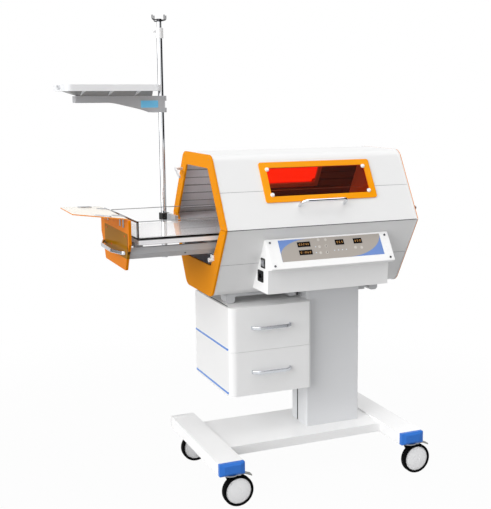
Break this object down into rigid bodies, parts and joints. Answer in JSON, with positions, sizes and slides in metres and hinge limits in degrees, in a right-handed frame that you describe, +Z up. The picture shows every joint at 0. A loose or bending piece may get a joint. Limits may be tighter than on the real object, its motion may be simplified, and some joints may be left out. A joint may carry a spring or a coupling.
{
  "type": "infant phototherapy unit",
  "caption": "Mobile infant phototherapy unit: hexagonal light box with lifting hood, slide-out crib bed, console, drawer cabinet, pole with hooks and shelf.",
  "frame": {"origin": "on the floor, under the centre of the overall bounding box", "axes": "+Z up, +Y to the back, +X to the right seen from the front; the bed slides out to -X"},
  "size_m": [1.4074, 1.0026, 1.932],
  "materials": {
    "white_paint": "satin powder coat",
    "blue_cap": "satin",
    "caster_steel": "bright",
    "caster_wheel": "white disc with a dark tyre",
    "pedal_grey": "matt",
    "frame_steel": "satin",
    "drawer_plastic": "satin",
    "drawer_sheet": "satin",
    "handle_chrome": "satin chrome",
    "reflector_sheet": "satin",
    "lamp_tube": "opal glass tube, off",
    "orange_panel": "polished acrylic",
    "orange_door": "polished translucent acrylic",
    "amber_pane": "polished acrylic",
    "screw_white": "polished cap",
    "hinge_steel": "brushed",
    "console_white": "fine texture",
    "overlay_film": "printed film",
    "black_plastic": "satin",
    "rail_paint": "satin",
    "tray_metal": "polished dark",
    "clear_acrylic": "polished clear acrylic",
    "buffer_rubber": "matt white",
    "bracket_dark": "satin",
    "collar_white": "satin",
    "arm_grey": "satin",
    "shelf_plastic": "satin"
  },
  "bodies": {
    "frame": {"base_frame": "white_paint", "leg_end_caps": "blue_cap", "column_casing": "white_paint", "support_frame": "frame_steel", "cabinet_shell": "white_paint", "lower_housing": "white_paint", "lower_reflector": "reflector_sheet", "lower_lamp_tubes": "lamp_tube", "lower_end_ring": "orange_panel", "lower_end_panel": "orange_panel", "bed_guides": "reflector_sheet", "hood_hinges": "hinge_steel", "console_case": "console_white", "console_bezel": "console_white", "console_overlay": "overlay_film", "console_screws": "hinge_steel", "mains_inlet": "black_plastic", "door_buffers": "buffer_rubber", "pole": "handle_chrome", "pole_brackets": "bracket_dark", "hook_collar": "collar_white"},
    "caster_front_left_fork": {"caster_front_left_yoke": "caster_steel"},
    "caster_front_left_roller": {"caster_front_left_wheel": "caster_wheel"},
    "caster_front_left_brake": {"caster_front_left_pedal": "pedal_grey"},
    "caster_front_right_fork": {"caster_front_right_yoke": "caster_steel"},
    "caster_front_right_roller": {"caster_front_right_wheel": "caster_wheel"},
    "caster_front_right_brake": {"caster_front_right_pedal": "pedal_grey"},
    "caster_rear_left_fork": {"caster_rear_left_yoke": "caster_steel"},
    "caster_rear_left_roller": {"caster_rear_left_wheel": "caster_wheel"},
    "caster_rear_left_brake": {"caster_rear_left_pedal": "pedal_grey"},
    "caster_rear_right_fork": {"caster_rear_right_yoke": "caster_steel"},
    "caster_rear_right_roller": {"caster_rear_right_wheel": "caster_wheel"},
    "caster_rear_right_brake": {"caster_rear_right_pedal": "pedal_grey"},
    "upper_drawer": {"upper_drawer_box": "drawer_sheet", "upper_drawer_front": "drawer_plastic", "upper_drawer_handle": "handle_chrome"},
    "lower_drawer": {"lower_drawer_box": "drawer_sheet", "lower_drawer_front": "drawer_plastic", "lower_drawer_handle": "handle_chrome"},
    "hood": {"hood_shell": "white_paint", "hood_reflector": "reflector_sheet", "hood_lamp_tubes": "lamp_tube", "hood_end_ring": "orange_panel", "hood_end_panel": "orange_panel", "hood_windows": "amber_pane", "window_screws": "screw_white", "hood_handle": "handle_chrome"},
    "latch": {"ring_latch": "hinge_steel"},
    "rocker": {"rocker_switch": "black_plastic"},
    "bed": {"bed_carriage": "rail_paint", "crib_tray": "tray_metal", "crib_tub": "clear_acrylic", "bed_door": "orange_door", "door_handle": "handle_chrome", "flap_hinges": "hinge_steel"},
    "flap": {"flap": "orange_door", "flap_fittings": "hinge_steel"},
    "hook": {"hook_rod": "handle_chrome"},
    "shelf": {"shelf_arm": "arm_grey", "shelf_tray": "shelf_plastic"}
  },
  "joints": [
    {"name": "caster_front_left_swivel", "type": "hinge", "parent": "frame", "child": "caster_front_left_fork", "pos_m": [-0.19477, -0.47125, 0.131], "axis": [0, 0, 1], "continuous": true},
    {"name": "caster_front_left_spin", "type": "hinge", "parent": "caster_front_left_fork", "child": "caster_front_left_roller", "pos_m": [-0.16477, -0.47125, 0.0625], "axis": [0, 1, 0], "continuous": true},
    {"name": "caster_front_left_pedal_press", "type": "hinge", "parent": "caster_front_left_fork", "child": "caster_front_left_brake", "pos_m": [-0.15877, -0.47125, 0.13], "axis": [0, 1, 0], "range_deg": [0, 12]},
    {"name": "caster_front_right_swivel", "type": "hinge", "parent": "frame", "child": "caster_front_right_fork", "pos_m": [0.61123, -0.47125, 0.131], "axis": [0, 0, 1], "continuous": true},
    {"name": "caster_front_right_spin", "type": "hinge", "parent": "caster_front_right_fork", "child": "caster_front_right_roller", "pos_m": [0.64123, -0.47125, 0.0625], "axis": [0, 1, 0], "continuous": true},
    {"name": "caster_front_right_pedal_press", "type": "hinge", "parent": "caster_front_right_fork", "child": "caster_front_right_brake", "pos_m": [0.64723, -0.47125, 0.13], "axis": [0, 1, 0], "range_deg": [0, 12]},
    {"name": "caster_rear_left_swivel", "type": "hinge", "parent": "frame", "child": "caster_rear_left_fork", "pos_m": [-0.19477, 0.04775, 0.131], "axis": [0, 0, 1], "continuous": true},
    {"name": "caster_rear_left_spin", "type": "hinge", "parent": "caster_rear_left_fork", "child": "caster_rear_left_roller", "pos_m": [-0.16477, 0.04775, 0.0625], "axis": [0, 1, 0], "continuous": true},
    {"name": "caster_rear_left_pedal_press", "type": "hinge", "parent": "caster_rear_left_fork", "child": "caster_rear_left_brake", "pos_m": [-0.15877, 0.04775, 0.13], "axis": [0, 1, 0], "range_deg": [0, 12]},
    {"name": "caster_rear_right_swivel", "type": "hinge", "parent": "frame", "child": "caster_rear_right_fork", "pos_m": [0.61123, 0.04775, 0.131], "axis": [0, 0, 1], "continuous": true},
    {"name": "caster_rear_right_spin", "type": "hinge", "parent": "caster_rear_right_fork", "child": "caster_rear_right_roller", "pos_m": [0.64123, 0.04775, 0.0625], "axis": [0, 1, 0], "continuous": true},
    {"name": "caster_rear_right_pedal_press", "type": "hinge", "parent": "caster_rear_right_fork", "child": "caster_rear_right_brake", "pos_m": [0.64723, 0.04775, 0.13], "axis": [0, 1, 0], "range_deg": [0, 12]},
    {"name": "upper_drawer_slide", "type": "slide", "parent": "frame", "child": "upper_drawer", "axis": [0, -1, 0], "range_m": [0, 0.3]},
    {"name": "lower_drawer_slide", "type": "slide", "parent": "frame", "child": "lower_drawer", "axis": [0, -1, 0], "range_m": [0, 0.3]},
    {"name": "hood_hinge", "type": "hinge", "parent": "frame", "child": "hood", "pos_m": [0.26223, 0.29575, 1.071], "axis": [-1, 0, 0], "range_deg": [0, 42]},
    {"name": "ring_latch_turn", "type": "hinge", "parent": "hood", "child": "latch", "pos_m": [-0.16707, 0.13975, 1.277], "axis": [-1, 0, 0], "range_deg": [-90, 0]},
    {"name": "rocker_tilt", "type": "hinge", "parent": "frame", "child": "rocker", "pos_m": [0.00623, -0.33725, 0.928], "axis": [0, 1, 0], "range_deg": [0, 14]},
    {"name": "bed_slide", "type": "slide", "parent": "frame", "child": "bed", "axis": [1, 0, 0], "range_m": [0, 0.323]},
    {"name": "flap_hinge", "type": "hinge", "parent": "bed", "child": "flap", "pos_m": [-0.51427, -0.04825, 1.125], "axis": [0, 1, 0], "range_deg": [0, 85]},
    {"name": "hook_rod_slide", "type": "slide", "parent": "frame", "child": "hook", "axis": [0, 0, 1], "range_m": [0, 0.4]},
    {"name": "shelf_swivel", "type": "hinge", "parent": "frame", "child": "shelf", "pos_m": [-0.19077, 0.35275, 1.55], "axis": [0, 0, 1], "range_deg": [-90, 0]}
  ]
}
